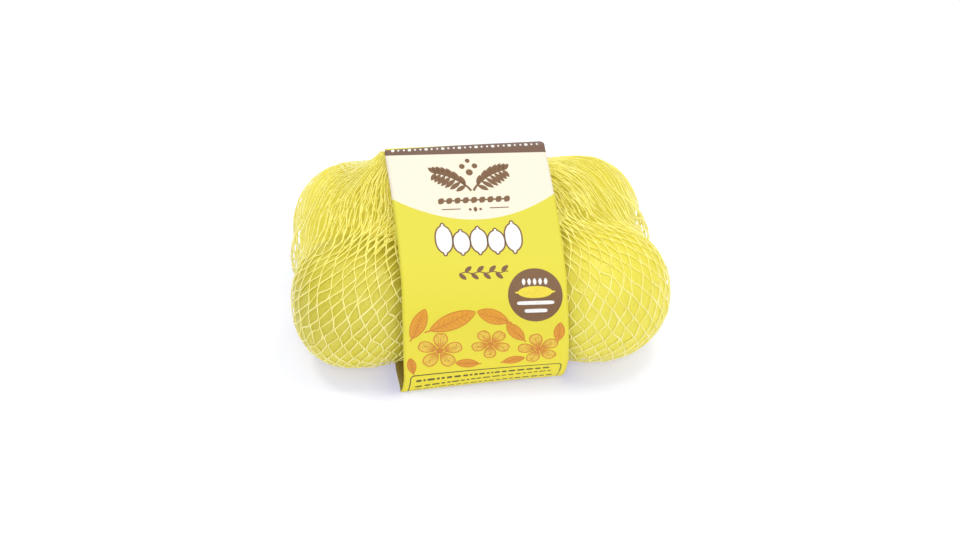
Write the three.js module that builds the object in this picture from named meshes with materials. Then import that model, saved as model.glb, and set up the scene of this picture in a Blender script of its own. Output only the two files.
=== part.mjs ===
// Net of lemons: four lemons lying in two rows inside a gathered mesh bag, with a printed
// card sleeve wrapped round the middle. Millimetres, +Z up, standing on z = 0.
// The bag is one closed solid, out to the outside of its mesh: a net of equal pieces starts as
// a loose tube round the fruit and is then pulled taut over it.
import * as THREE from "three";

// ---- The fruit. Each lemon lies along X, its blunt stem end outwards and its tip at the middle.
// side: the end of the pack that its stem points to. widestX: where it is thickest.
// stemLength: from there to the stem end. fullness: how blunt that end is, 2 being a plain round.
// tipX: where its tip ends.
const STRAND = 0.7; // thickness of a strand, and of the mesh between the fruit and the floor
const LEMONS = [
  { side: -1, widestX: -53.8, y: -30.3, radius: 28.7, stemLength: 26.4, fullness: 2.2, tipX: -1.6 },
  { side: 1, widestX: 49.5, y: -30.4, radius: 30.2, stemLength: 33.2, fullness: 2.12, tipX: 2.4 },
  { side: -1, widestX: -50.4, y: 29.7, radius: 29.2, stemLength: 30.5, fullness: 2.15, tipX: -0.8 },
  { side: 1, widestX: 48.5, y: 29.9, radius: 29.2, stemLength: 28.2, fullness: 2.12, tipX: 1.6 },
];
const SHOULDER = 0.93; // share of the tip half at which the body ends in the nipple
const NIPPLE = 0.19; // nipple radius over the lemon's radius

// Rounds over which the mesh's own stiffness holds it out, across each end between the rows.
const BRIDGES = [
  { side: -1, widestX: -58, y: 3, radius: 23, stemLength: 23.3, fullness: 2, tipX: -34, lift: 8 },
  { side: 1, widestX: 56, y: 7, radius: 23, stemLength: 22.2, fullness: 2, tipX: 32, lift: 9 },
];
const REACH_STEPS = 180;

// ---- The mesh bag: a tube with an upright axis, drawn together in a narrow loop above and below.
// fall: drop of the loop for each millimetre towards +X.
const KNOTS_AROUND = 88;
const KNOT_ROWS = 47;
const PIECE_LENGTH = 3.2; // from knot to knot, before it is stretched
const SLACK_STIFFNESS = 0.3; // of a piece pushed shorter, over one pulled longer
const PULL_ROUNDS = 700;
const PULL_STEP = 0.1;
const PULL_CARRY = 0.85; // share of each move that goes on into the next
const TOP_LOOP = { x: -16.4, y: 1.4, z: 80.3, halfLength: 24.2, halfWidth: 3, fall: 0.17 };
const BOTTOM_LOOP = { x: 1, y: 0, z: 2.2, halfLength: 24, halfWidth: 4, fall: 0 };
const LOOSE_TUBE = { halfLength: 70, halfWidth: 62 };

// ---- The card sleeve. Its section is set at its left and its right edge and blended between.
// ridgeY, ridgeZ: axis of the rounded ridge. sideY, sideZ: axis of the curve over each row of
// fruit. Fold: distance of a fold at the floor from the middle. Turn: radius of that fold.
const CARD = 0.7; // thickness of the card
const GAP = 0.4; // between the card and the mesh
const SLEEVE_WIDTH = 69;
const SLEEVE_X = 1.4;
const RIDGE_SHIFT = -5.5; // the ridge leans towards the left
const LEAN_FROM_Z = 50;
const LEAN_POWER = 1.6;
const RIDGE_RADIUS = 10;
const SIDE_RADIUS = 31.4;
const SIDE_ENDS_AT = -8; // degrees below level at which the card leaves the round of the fruit
const FOLD_LEAD = 9; // how far the card runs on from there before it heads for the fold
const LEFT_FLARE = 1.6; // the left edge spreads out this far at the floor
const BASE_SPREAD = 1.9; // and the base's left edge this much farther, behind its front fold
const BASE_SPREAD_OVER = 22;
const FLARE_TO_Z = 9; // above this height it doesn't
const RIGHT_DRAW = 2.65; // the right edge draws in this far at the floor
const DRAW_TO_Z = 17; // and above this height it doesn't
const DRAW_POWER = 1.6;
const RIGHT_BOW = 1.2; // the right edge bows out this far, most at a quarter of BOW_TO_Z
const BOW_TO_Z = 50;
const BACK_TUCK = 2.2; // behind the ridge the right edge is drawn in this far
const BACK_TUCK_OVER = 6;
const TUCK_FROM_Z = 50;
const TUCK_TO_Z = 68;
const LEFT = {
  ridgeY: 0,
  ridgeZ: 75.5,
  sideY: 29.9,
  sideZ: 31.4,
  frontFold: 59.2,
  frontTurn: 2,
  backFold: 54,
  backTurn: 3,
};
const RIGHT = {
  ridgeY: 1.8,
  ridgeZ: 76.3,
  sideY: 29.8,
  sideZ: 31.4,
  frontFold: 54.6,
  frontTurn: 12,
  backFold: 57,
  backTurn: 5,
};
const COLUMNS = 6;
const RIDGE_STEPS = 5;
const PANEL_STEPS = 3;
const SIDE_STEPS = 8;
const LOWER_STEPS = 4;
const FOLD_STEPS = 5;
const BASE_STEPS = 3;

const { degToRad, lerp, smoothstep } = THREE.MathUtils;

// ---- Lemon outline: its radius at `along` from the widest place, + towards the stem.
function lemonRadius(lemon, along) {
  if (along >= 0) {
    const share = Math.min(along / lemon.stemLength, 1);
    return lemon.radius * (1 - share ** lemon.fullness) ** (1 / lemon.fullness);
  }
  const tipLength = Math.abs(lemon.tipX - lemon.widestX);
  const share = Math.min(-along / tipLength, 1);
  const body = Math.max(0, 1 - (share / SHOULDER) ** 2.1) ** 0.6;
  const nipple = NIPPLE * Math.sqrt(1 - share ** 8);
  return lemon.radius * Math.cbrt(body ** 3 + nipple ** 3);
}

// Distance from the middle of the widest place to the surface, for directions from the stem
// end (first entry) round to the tip (last entry).
function reachTable(lemon) {
  const tipLength = Math.abs(lemon.tipX - lemon.widestX);
  const table = [];
  for (let step = 0; step <= REACH_STEPS; step++) {
    const angle = (Math.PI * step) / REACH_STEPS;
    let inside = 0;
    let outside = 3 * lemon.radius;
    for (let halving = 0; halving < 32; halving++) {
      const middle = (inside + outside) / 2;
      const along = middle * Math.cos(angle);
      const within = along < lemon.stemLength && along > -tipLength;
      if (within && middle * Math.sin(angle) < lemonRadius(lemon, along)) inside = middle;
      else outside = middle;
    }
    table.push(inside);
  }
  return table;
}

// ---- The mesh bag.
const lobes = [...LEMONS, ...BRIDGES].map((round) => {
  const z = STRAND + round.radius + (round.lift ?? 0);
  return { ...round, centre: new THREE.Vector3(round.widestX, round.y, z), reach: reachTable(round) };
});

// Moves a point that lies inside a lobe straight out to its surface.
function keepOutside(point, lobe) {
  const ray = point.clone().sub(lobe.centre);
  const distance = ray.length();
  const angle = Math.acos(THREE.MathUtils.clamp((lobe.side * ray.x) / distance, -1, 1));
  const place = (angle / Math.PI) * REACH_STEPS;
  const step = Math.min(Math.floor(place), REACH_STEPS - 1);
  const reach = lerp(lobe.reach[step], lobe.reach[step + 1], place - step) + STRAND;
  if (distance < reach) point.copy(lobe.centre).addScaledVector(ray, reach / distance);
}

// Height that the mesh may not go below: the floor, or the top of the card lying on it.
function lowestAt(x) {
  const past = Math.abs(x - SLEEVE_X) - SLEEVE_WIDTH / 2;
  return (CARD + GAP) * (1 - smoothstep(past, 3, 12));
}

function loopPoint(loop, angle) {
  const x = loop.halfLength * Math.cos(angle);
  return new THREE.Vector3(loop.x + x, loop.y + loop.halfWidth * Math.sin(angle), loop.z - loop.fall * x);
}

const lastRow = KNOT_ROWS - 1;
const knot = (row, column) => row * KNOTS_AROUND + ((column + KNOTS_AROUND) % KNOTS_AROUND);

function looseTube() {
  const points = [];
  for (let row = 0; row < KNOT_ROWS; row++) {
    const share = row / lastRow;
    const swell = Math.sin(Math.PI * share) ** 0.6;
    for (let column = 0; column < KNOTS_AROUND; column++) {
      const angle = (2 * Math.PI * (column + (row % 2) / 2)) / KNOTS_AROUND;
      const point = loopPoint(BOTTOM_LOOP, angle).lerp(loopPoint(TOP_LOOP, angle), share);
      point.x += swell * LOOSE_TUBE.halfLength * Math.cos(angle);
      point.y += swell * LOOSE_TUBE.halfWidth * Math.sin(angle);
      points.push(point);
    }
  }
  return points;
}

// Every piece as [lower knot, upper knot].
function netPieces() {
  const pieces = [];
  for (let row = 0; row < lastRow; row++) {
    const left = row % 2 ? 0 : -1;
    for (let column = 0; column < KNOTS_AROUND; column++) {
      pieces.push([knot(row, column), knot(row + 1, column + left)]);
      pieces.push([knot(row, column), knot(row + 1, column + left + 1)]);
    }
  }
  return pieces;
}

function pullTaut(points) {
  const pieces = netPieces();
  const pulls = points.map(() => new THREE.Vector3());
  const span = new THREE.Vector3();
  for (let round = 0; round < PULL_ROUNDS; round++) {
    for (const pull of pulls) pull.multiplyScalar(PULL_CARRY);
    for (const [lower, upper] of pieces) {
      span.copy(points[upper]).sub(points[lower]);
      const length = span.length();
      const stretch = length - PIECE_LENGTH;
      span.multiplyScalar((stretch < 0 ? SLACK_STIFFNESS : 1) * (stretch / length) * PULL_STEP);
      pulls[lower].add(span);
      pulls[upper].sub(span);
    }
    for (let index = KNOTS_AROUND; index < lastRow * KNOTS_AROUND; index++) {
      const point = points[index];
      span.copy(point);
      point.add(pulls[index]);
      for (const lobe of lobes) keepOutside(point, lobe);
      point.z = Math.max(point.z, lowestAt(point.x));
      pulls[index].copy(point).sub(span);
    }
  }
}

function bagGeometry() {
  const points = looseTube();
  pullTaut(points);
  const faces = [];
  for (let row = 0; row < lastRow; row++) {
    const left = row % 2 ? 0 : -1;
    for (let column = 0; column < KNOTS_AROUND; column++) {
      const here = knot(row, column);
      const aboveLeft = knot(row + 1, column + left);
      const aboveRight = knot(row + 1, column + left + 1);
      faces.push(here, aboveRight, aboveLeft);
      faces.push(here, knot(row, column + 1), aboveRight);
    }
  }
  const loopEnds = [
    [0, 1],
    [lastRow, -1],
  ];
  for (const [row, turn] of loopEnds) {
    const middle = points.length;
    const centre = new THREE.Vector3();
    for (let column = 0; column < KNOTS_AROUND; column++) centre.add(points[knot(row, column)]);
    points.push(centre.divideScalar(KNOTS_AROUND));
    for (let column = 0; column < KNOTS_AROUND; column++) {
      faces.push(middle, knot(row, column + turn), knot(row, column));
    }
  }
  return indexedGeometry(points, faces);
}

function indexedGeometry(points, faces) {
  const geometry = new THREE.BufferGeometry().setFromPoints(points);
  geometry.setIndex(faces);
  geometry.computeVertexNormals();
  return geometry;
}

// ---- The card sleeve. One half of its section, from the top of the ridge down to the middle
// of its base, as points { out, z } with the outward direction { outN, zN }; `out` is the
// distance from the middle plane towards that half's row of fruit.
function halfSection(ridgeOut, ridgeZ, sideOut, sideZ, fold, turn) {
  const stations = [];
  const arc = (out, z, radius, from, to, steps) => {
    for (let step = 0; step <= steps; step++) {
      const angle = lerp(from, to, step / steps);
      const outN = Math.cos(angle);
      const zN = Math.sin(angle);
      stations.push({ out: out + radius * outN, z: z + radius * zN, outN, zN });
    }
  };
  const down = Math.atan2(sideZ - ridgeZ, sideOut - ridgeOut);
  const apart = Math.hypot(sideZ - ridgeZ, sideOut - ridgeOut);
  const panelAngle = down + Math.acos((RIDGE_RADIUS - SIDE_RADIUS) / apart);
  arc(ridgeOut, ridgeZ, RIDGE_RADIUS, Math.PI / 2, panelAngle, RIDGE_STEPS);
  const panelTop = stations.at(-1);
  const sideStart = stations.length;
  arc(sideOut, sideZ, SIDE_RADIUS, panelAngle, degToRad(SIDE_ENDS_AT), SIDE_STEPS);
  const panelFoot = stations[sideStart];
  const panel = [];
  for (let step = 1; step < PANEL_STEPS; step++) {
    const share = step / PANEL_STEPS;
    const out = lerp(panelTop.out, panelFoot.out, share);
    panel.push({ ...panelTop, out, z: lerp(panelTop.z, panelFoot.z, share) });
  }
  stations.splice(sideStart, 0, ...panel);

  const leave = stations.at(-1);
  const control = new THREE.Vector2(leave.out + FOLD_LEAD * leave.zN, leave.z - FOLD_LEAD * leave.outN);
  const corner = new THREE.Vector2(fold, 0);
  const lastRun = corner.clone().sub(control).normalize();
  const foldAngle = Math.atan2(lastRun.x, -lastRun.y);
  const cut = turn * Math.tan((foldAngle + Math.PI / 2) / 2);
  const foldStart = corner.clone().addScaledVector(lastRun, -cut);
  const start = new THREE.Vector2(leave.out, leave.z);
  const lower = new THREE.QuadraticBezierCurve(start, control, foldStart);
  for (let step = 1; step < LOWER_STEPS; step++) {
    const place = lower.getPoint(step / LOWER_STEPS);
    const heading = lower.getTangent(step / LOWER_STEPS);
    stations.push({ out: place.x, z: place.y, outN: -heading.y, zN: heading.x });
  }
  arc(fold - cut, turn, turn, foldAngle, -Math.PI / 2, FOLD_STEPS);
  for (let step = 1; step <= BASE_STEPS; step++) {
    stations.push({ out: lerp(fold - cut, 0, step / BASE_STEPS), z: 0, outN: 0, zN: -1 });
  }
  return stations;
}

// The whole section at `share` of the way from the left edge to the right: from the ridge down
// the front, along the base and up the back.
function sleeveSection(share) {
  const at = (name) => lerp(LEFT[name], RIGHT[name], share);
  const side = [at("sideY"), at("sideZ")];
  const front = halfSection(-at("ridgeY"), at("ridgeZ"), ...side, at("frontFold"), at("frontTurn"));
  const back = halfSection(at("ridgeY"), at("ridgeZ"), ...side, at("backFold"), at("backTurn"));
  const frontPoints = front.map((s) => ({ y: -s.out, z: s.z, yN: -s.outN, zN: s.zN }));
  const backPoints = back.map((s) => ({ y: s.out, z: s.z, yN: s.outN, zN: s.zN }));
  return frontPoints.concat(backPoints.slice(1, -1).reverse());
}

// Where the left and the right edge lie at a point of the section, `share` of the way across.
function edgesAt(y, z, share) {
  const lean = Math.max(0, (z - LEAN_FROM_Z) / (LEFT.ridgeZ + RIDGE_RADIUS - LEAN_FROM_Z));
  const middle = SLEEVE_X + RIDGE_SHIFT * lean ** LEAN_POWER;
  const inside = Math.min(y + LEFT.frontFold, LEFT.backFold - y);
  const low = Math.max(0, 1 - z / FLARE_TO_Z) ** 2;
  const flare = low * (LEFT_FLARE + BASE_SPREAD * smoothstep(inside, 0, BASE_SPREAD_OVER));
  const bow = RIGHT_BOW * Math.sin(Math.PI * Math.sqrt(Math.min(z / BOW_TO_Z, 1)));
  const behind = y - lerp(LEFT.ridgeY, RIGHT.ridgeY, share);
  const tuck = BACK_TUCK * smoothstep(behind, 0, BACK_TUCK_OVER) * smoothstep(z, TUCK_FROM_Z, TUCK_TO_Z);
  const draw = RIGHT_DRAW * Math.max(0, 1 - z / DRAW_TO_Z) ** DRAW_POWER;
  const right = middle + SLEEVE_WIDTH / 2 + bow - draw - tuck;
  return [middle - SLEEVE_WIDTH / 2 - flare, right];
}

function sleeveGeometry() {
  const points = [];
  const faces = [];
  const sections = [];
  for (let column = 0; column <= COLUMNS; column++) sections.push(sleeveSection(column / COLUMNS));
  const around = sections[0].length;
  for (const depth of [0, CARD]) {
    sections.forEach((section, column) => {
      const share = column / COLUMNS;
      for (const { y, z, yN, zN } of section) {
        const x = lerp(...edgesAt(y, z, share), share);
        points.push(new THREE.Vector3(x, y - depth * yN, z - depth * zN));
      }
    });
  }
  const layer = (COLUMNS + 1) * around;
  const quad = (a, b, c, d) => faces.push(a, b, c, a, c, d);
  for (let place = 0; place < around; place++) {
    const next = (place + 1) % around;
    for (let column = 0; column < COLUMNS; column++) {
      const a = column * around;
      const b = a + around;
      quad(a + place, a + next, b + next, b + place);
      quad(layer + a + next, layer + a + place, layer + b + place, layer + b + next);
    }
    const end = COLUMNS * around;
    quad(layer + place, layer + next, next, place);
    quad(end + place, end + next, layer + end + next, layer + end + place);
  }
  return indexedGeometry(points, faces);
}

// ---- The pack.
function makeBag() {
  const material = new THREE.MeshStandardMaterial({ color: 0xe6dc52, roughness: 0.5, metalness: 0 });
  const mesh = new THREE.Mesh(bagGeometry(), material);
  mesh.name = "net_bag";
  return mesh;
}

function makeSleeve() {
  const material = new THREE.MeshStandardMaterial({ color: 0xf6e948, roughness: 0.4, metalness: 0 });
  const mesh = new THREE.Mesh(sleeveGeometry(), material);
  mesh.name = "card_sleeve";
  return mesh;
}

const pack = new THREE.Group();
pack.name = "net_of_lemons";
pack.add(makeBag(), makeSleeve());

// The origin is at the middle of the pack's footprint.
const box = new THREE.Box3().setFromObject(pack);
for (const mesh of pack.children) {
  mesh.geometry.translate(-(box.min.x + box.max.x) / 2, -(box.min.y + box.max.y) / 2, -box.min.z);
}

export default pack;
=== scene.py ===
"""Looks of the net of lemons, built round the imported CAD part.

Four lemons, the mesh bag's strands and the printed card sleeve replace the plain solids.
Lengths are in millimetres, in the part's own construction frame, until a mesh is made:
FRAME_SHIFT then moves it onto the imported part, and MM turns it into metres.
"""

import math

import bpy
import numpy as np
from mathutils import Color, Matrix, Vector
from numpy import arange, clip, cos, exp, linspace, maximum, minimum, pi, roll, sin, sqrt, where
from numpy.linalg import norm


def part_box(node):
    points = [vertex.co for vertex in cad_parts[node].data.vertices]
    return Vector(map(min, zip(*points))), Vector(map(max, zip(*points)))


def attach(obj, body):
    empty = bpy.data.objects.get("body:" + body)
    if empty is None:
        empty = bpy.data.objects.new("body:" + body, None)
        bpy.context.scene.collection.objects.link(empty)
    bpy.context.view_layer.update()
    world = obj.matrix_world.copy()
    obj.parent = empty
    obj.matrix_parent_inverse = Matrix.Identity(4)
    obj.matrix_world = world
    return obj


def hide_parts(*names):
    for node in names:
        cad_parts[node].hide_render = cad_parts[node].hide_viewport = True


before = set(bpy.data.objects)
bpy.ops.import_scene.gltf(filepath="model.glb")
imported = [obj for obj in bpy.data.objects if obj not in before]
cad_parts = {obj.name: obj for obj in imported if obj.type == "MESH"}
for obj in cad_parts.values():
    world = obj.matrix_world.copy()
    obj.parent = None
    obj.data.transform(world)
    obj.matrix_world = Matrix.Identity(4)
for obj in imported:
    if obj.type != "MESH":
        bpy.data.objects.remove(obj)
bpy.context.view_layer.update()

MM = 0.001
BODY = "root"
TINY = 1e-6
join = np.concatenate


def side_by(*parts):
    """Arrays and numbers as the columns of one array."""
    return np.stack(np.broadcast_arrays(*parts), -1)


def add_object(name, data):
    made = bpy.data.objects.new(name, data)
    bpy.context.scene.collection.objects.link(made)
    return made


# ---- the camera of the photograph
PHOTO_TURN = math.radians(2.879)  # the camera stands this far to the left of straight in front
PHOTO_DOWN = math.radians(33.10)  # and looks down by this much
LENS_MM = 74.39
SENSOR_MM = 36.0
CLIP_START = 0.01  # metres
CAMERA_AT = (-35.70, -742.26, 508.03)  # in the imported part's frame


def add_camera():
    data = bpy.data.cameras.new("photo_camera")
    data.lens = LENS_MM
    data.sensor_width = SENSOR_MM
    data.clip_start = CLIP_START
    camera = add_object("photo_camera", data)
    turn, level = PHOTO_TURN, math.cos(PHOTO_DOWN)
    right = Vector((math.cos(turn), -math.sin(turn), 0))
    ahead = Vector((math.sin(turn) * level, math.cos(turn) * level, -math.sin(PHOTO_DOWN)))
    turned = Matrix((right, right.cross(ahead), -ahead)).transposed().to_4x4()
    camera.matrix_world = Matrix.Translation(Vector(CAMERA_AT) * MM) @ turned
    bpy.context.scene.camera = camera


add_camera()


# ---- materials
class Nodes:
    """The nodes of a material or a world, and of its shader, called main."""

    def __init__(self, owner, main):
        owner.use_nodes = True
        self.owner, self.tree = owner, owner.node_tree
        self.main = self.tree.nodes[main].inputs

    def node(self, kind, inputs=None, **settings):
        made = self.tree.nodes.new(kind)
        for name, value in settings.items():
            setattr(made, name, value)
        for name, value in (inputs or {}).items():
            self.put(value, made.inputs[name])
        return made

    def put(self, value, socket):
        if isinstance(value, bpy.types.NodeSocket):
            self.tree.links.new(value, socket)
        else:
            socket.default_value = value

    def place(self):
        return self.node("ShaderNodeTexCoord").outputs["Object"]

    def parts(self, vector):
        return self.node("ShaderNodeSeparateXYZ", {"Vector": vector}).outputs

    def math(self, operation, first, second=0.0, third=0.0):
        made = self.node("ShaderNodeMath", operation=operation)
        for socket, value in zip(made.inputs, (first, second, third)):
            self.put(value, socket)
        return made.outputs[0]

    def noise(self, per_mm, detail):
        inputs = {"Vector": self.place(), "Scale": per_mm / MM, "Detail": detail}
        return self.node("ShaderNodeTexNoise", inputs).outputs["Fac"]

    def cells(self, per_mm, smooth):
        inputs = {"Vector": self.place(), "Scale": per_mm / MM, "Smoothness": smooth}
        return self.node("ShaderNodeTexVoronoi", inputs, feature="SMOOTH_F1").outputs["Distance"]

    def spread(self, factor, low, high, to_low=0.0, to_high=1.0):
        inputs = {"Value": factor, "From Min": low, "From Max": high, "To Min": to_low, "To Max": to_high}
        return self.node("ShaderNodeMapRange", inputs).outputs["Result"]

    def patches(self, per_mm, low, high):
        """Soft patches: noise, its values from low to high spread over 0 to 1."""
        return self.spread(self.noise(per_mm, 3), low, high)

    def mix(self, factor, first, second):
        made = self.node("ShaderNodeMix", data_type="RGBA")
        self.put(factor, made.inputs["Factor"])
        for socket, value in zip(made.inputs[6:8], (first, second)):  # its sockets for colours
            self.put(value, socket)
        return made.outputs[2]

    def feed(self, **values):
        """Sets or links the main shader's inputs, _ for a space in a name; gives back the owner."""
        for name, value in values.items():
            self.put(value, self.main[name.replace("_", " ")])
        return self.owner

    def bump(self, height, distance_mm, strength=1.0):
        inputs = {"Height": height, "Distance": distance_mm * MM, "Strength": strength}
        return self.node("ShaderNodeBump", inputs).outputs["Normal"]


def material(name, roughness, **plain):
    nodes = Nodes(bpy.data.materials.new(name), "Principled BSDF")
    nodes.feed(Roughness=roughness, **plain)
    return nodes


def rgb(red, green, blue):
    """A screen colour, 0 to 255, as the linear colour that a shader takes."""
    screen = Color((red / 255, green / 255, blue / 255))
    return (*screen.from_srgb_to_scene_linear(), 1.0)


PITS_PER_MM = 0.62
PIT_REACH = 0.34  # from a pit's middle to the even peel
PIT_TINT = 0.24
PIT_DEPTH = 0.22
# Painted light: the peel glows, an emission of its own colour that stands in for light through the peel
# and for bounced light, with painted shade beside the card and a glow that changes with height.
PAINTED_SHADE_BY_CARD = (-1.0, 9.0)  # how far out from the card's edge the painted shade on the peel reaches
# the painted glow falls to this share of itself at the card's edge: painted shade
PAINTED_SHADE_LEVEL = 0.25
PEEL_FOOT, PEEL_TOP = 6.0, 34.0  # the painted glow changes between these heights


def lemon_peel(name, foot_painted_glow, top_painted_glow):
    look = material(name, 0.45, Specular_IOR_Level=0.35, Coat_Weight=0.18, Coat_Roughness=0.2)
    base = look.mix(look.patches(0.035, 0.3, 0.7), rgb(205, 194, 60), rgb(214, 204, 72))
    pits = look.spread(look.cells(PITS_PER_MM, smooth=0.35), 0.0, PIT_REACH)
    tint = look.math("MULTIPLY", look.math("SUBTRACT", 1.0, pits), PIT_TINT)
    base = look.mix(tint, base, rgb(188, 172, 54))
    # Painted light: an emitted glow of the peel's own colour, with painted shade beside the card's edges,
    # changing with height.
    place = look.parts(look.place())
    aside = look.math("SUBTRACT", place["X"], (SLEEVE_X + FRAME_SHIFT) * MM)
    painted_shade_reach = [(WIDTH / 2 + out) * MM for out in PAINTED_SHADE_BY_CARD]
    card_painted_shade = look.spread(look.math("ABSOLUTE", aside), *painted_shade_reach, PAINTED_SHADE_LEVEL)
    height = look.spread(place["Z"], PEEL_FOOT * MM, PEEL_TOP * MM, foot_painted_glow, top_painted_glow)
    painted_glow = look.mix(look.math("MULTIPLY", card_painted_shade, height), rgb(0, 0, 0), base)
    uneven = look.math("MULTIPLY_ADD", look.noise(0.16, 2), 0.6, pits)
    return look.feed(Base_Color=base, Emission_Color=painted_glow, Emission_Strength=1.0,
                     Normal=look.bump(uneven, PIT_DEPTH, 0.9))


def stem_button():
    look = material("lemon_stem", 0.75)
    base = look.mix(look.patches(0.5, 0.35, 0.65), rgb(120, 118, 58), rgb(92, 74, 44))
    return look.feed(Base_Color=base, Normal=look.bump(look.noise(1.4, 3), 0.25))


PAINTED_BOUNCE_HEIGHTS = (40, 58)  # painted light: between these heights, where the mesh is gathered, the strands turn a deeper yellow, painted bounced light; below they are paler, a painted sheen
# painted light: the strands glow with their own colour
NET_PAINTED_GLOW = 0.16


def net_plastic():
    look = material("net_plastic", 0.25, Specular_IOR_Level=0.6)
    streaks = look.patches(0.22, 0.32, 0.68)
    gathered = look.spread(look.parts(look.place())["Z"], *(level * MM for level in PAINTED_BOUNCE_HEIGHTS))
    # Painted sheen on the paler strands, painted bounced light on the deeper yellow ones in the gathered
    # mesh.
    lobe_painted_sheen = look.mix(streaks, rgb(230, 221, 108), rgb(241, 233, 158))
    gathered_painted_bounce = look.mix(streaks, rgb(232, 221, 86), rgb(242, 233, 124))
    base = look.mix(gathered, lobe_painted_sheen, gathered_painted_bounce)
    return look.feed(Base_Color=base, Emission_Color=base, Emission_Strength=NET_PAINTED_GLOW,
                     Normal=look.bump(look.noise(1.6, 2), 0.12, 0.7))


INK_THIN = 0.9  # brightness of an ink's darker patches


def ink(name, colour):
    look = material(name, 0.5)
    darker = tuple(channel * INK_THIN for channel in colour[:3]) + (1.0,)
    base = look.mix(look.patches(0.8, 0.3, 0.7), colour, darker)
    return look.feed(Base_Color=base, Normal=look.bump(look.noise(3.0, 2), 0.02, 0.5))


# ---- meshes
def mesh_piece(name, points, faces, materials, slots=None, smooth=True):
    """A mesh object from points in millimetres. faces is an (n, 3) or (n, 4) array."""
    faces = np.asarray(faces, np.int32)
    mesh = bpy.data.meshes.new(name)
    mesh.vertices.add(len(points))
    placed = (np.asarray(points) + [FRAME_SHIFT, 0, 0]) * MM
    mesh.vertices.foreach_set("co", placed.astype(np.float32).ravel())
    mesh.loops.add(faces.size)
    mesh.loops.foreach_set("vertex_index", faces.ravel())
    mesh.polygons.add(len(faces))
    mesh.polygons.foreach_set("loop_start", arange(0, faces.size, faces.shape[1], dtype=np.int32))
    mesh.polygons.foreach_set("use_smooth", np.full(len(faces), smooth))
    for each in materials:
        mesh.materials.append(each)
    if slots is not None:
        mesh.polygons.foreach_set("material_index", slots.astype(np.int32))
    mesh.update()
    mesh.validate()
    return add_object(name, mesh)


def smoothstep(share):
    share = clip(share, 0, 1)
    return share * share * (3 - 2 * share)


def between(first, second, share):
    return first * (1 - share) + second * share


def loop(points):
    """Angles that go evenly once round."""
    return 2 * pi * arange(points) / points


def unit(vectors):
    return vectors / maximum(norm(vectors, axis=-1, keepdims=True), 1e-9)


def grid_faces(rows, columns):
    """Quads over points laid out row by row, the last column joined to the first."""
    row, column = arange(rows - 1)[:, None] * columns, arange(columns)
    here, beside = row + column, row + (column + 1) % columns
    return side_by(here, beside, beside + columns, here + columns).reshape(-1, 4)


def halved(quads):
    """Each quad as two triangles."""
    return join([quads[:, [0, 1, 2]], quads[:, [0, 2, 3]]])


def capped_rings(rings, sides):
    """Triangles over rings of points and over two poles, which come after the rings' points."""
    here = arange(sides)
    after = (here + 1) % sides
    last, pole = (rings - 1) * sides, rings * sides
    caps = side_by(pole, after, here), side_by(pole + 1, here + last, after + last)
    return join([halved(grid_faces(rings, sides)), *caps])


# ---- the fruit
# The lobes of part.mjs: each lies along X, its blunt stem end outwards. stem is how far that is
# from the widest place, tip where the other end is, and full how blunt the stem end is.
STRAND = 0.7
MEASURES = ("side", "widest", "y", "radius", "stem", "tip", "full", "lift")
LEMONS = {
    "lemon_front_left": (-1, -53.8, -30.3, 28.7, 26.4, -1.6, 2.2, 0),
    "lemon_front_right": (1, 49.5, -30.4, 30.2, 33.2, 2.4, 2.12, 0),
    "lemon_back_left": (-1, -50.4, 29.7, 29.2, 30.5, -0.8, 2.15, 0),
    "lemon_back_right": (1, 48.5, 29.9, 29.2, 28.2, 1.6, 2.12, 0),
}
# These have no fruit in them, and hold the mesh up where it bridges two lemons.
BRIDGES = ((-1, -58, 3, 23, 23.3, -34, 2, 8), (1, 56, 7, 23, 22.2, 32, 2, 9))
# How far each lemon's stem end lies inside the mesh, and its painted glow at foot and top: painted light
# that differs from lemon to lemon, dimmer up top on the front left one as painted shade.
SLACK = (0, 0, 1.3, 1.3)
PAINTED_GLOW = ((0.3, 0.06), (0.31, 0.31), (0.42, 0.42), (0.27, 0.27))
TIP_SHORT = 4  # each tip ends this far before its lobe's, inside the sleeve
SHOULDER = 0.93  # of the way to the tip
SHOULDER_CURVE, SHOULDER_BLUNT = 2.1, 0.6
NIPPLE = 0.19  # its radius over the lemon's
NIPPLE_BLUNT = 8
REACH_STEPS = 180
HALVINGS = 32
LEMON_RINGS = 112
LEMON_SIDES = 144
LEMON_SEED = 11


def lemon_radius(fruit, along):
    """Radius of the outline at `along` from the widest place, + towards the stem."""
    stemward = clip(along / fruit["stem"], 0, 1)
    blunt = fruit["radius"] * (1 - stemward ** fruit["full"]) ** (1 / fruit["full"])
    share = clip(-along / abs(fruit["tip"] - fruit["widest"]), 0, 1)
    body = maximum(0, 1 - (share / SHOULDER) ** SHOULDER_CURVE) ** SHOULDER_BLUNT
    nipple = NIPPLE * sqrt(1 - share**NIPPLE_BLUNT)
    return where(along >= 0, blunt, fruit["radius"] * np.cbrt(body**3 + nipple**3))


def reach_table(fruit, steps=REACH_STEPS):
    """Distance from the middle of the widest place to the surface, from the stem round to the tip."""
    angle = pi * arange(steps + 1) / steps
    inside, outside = np.zeros(steps + 1), np.full(steps + 1, 3.0 * fruit["radius"])
    tip_length = abs(fruit["tip"] - fruit["widest"])
    for _ in range(HALVINGS):
        middle = (inside + outside) / 2
        along = middle * cos(angle)
        ends = (along < fruit["stem"]) & (along > -tip_length)
        within = ends & (middle * sin(angle) < lemon_radius(fruit, along))
        inside, outside = where(within, middle, inside), where(within, outside, middle)
    return inside


def lobe(row):
    made = dict(zip(MEASURES, row))
    centre = [made["widest"], made["y"], STRAND + made["radius"] + made["lift"]]
    return dict(made, centre=np.array(centre, float), reach=reach_table(made))


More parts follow.
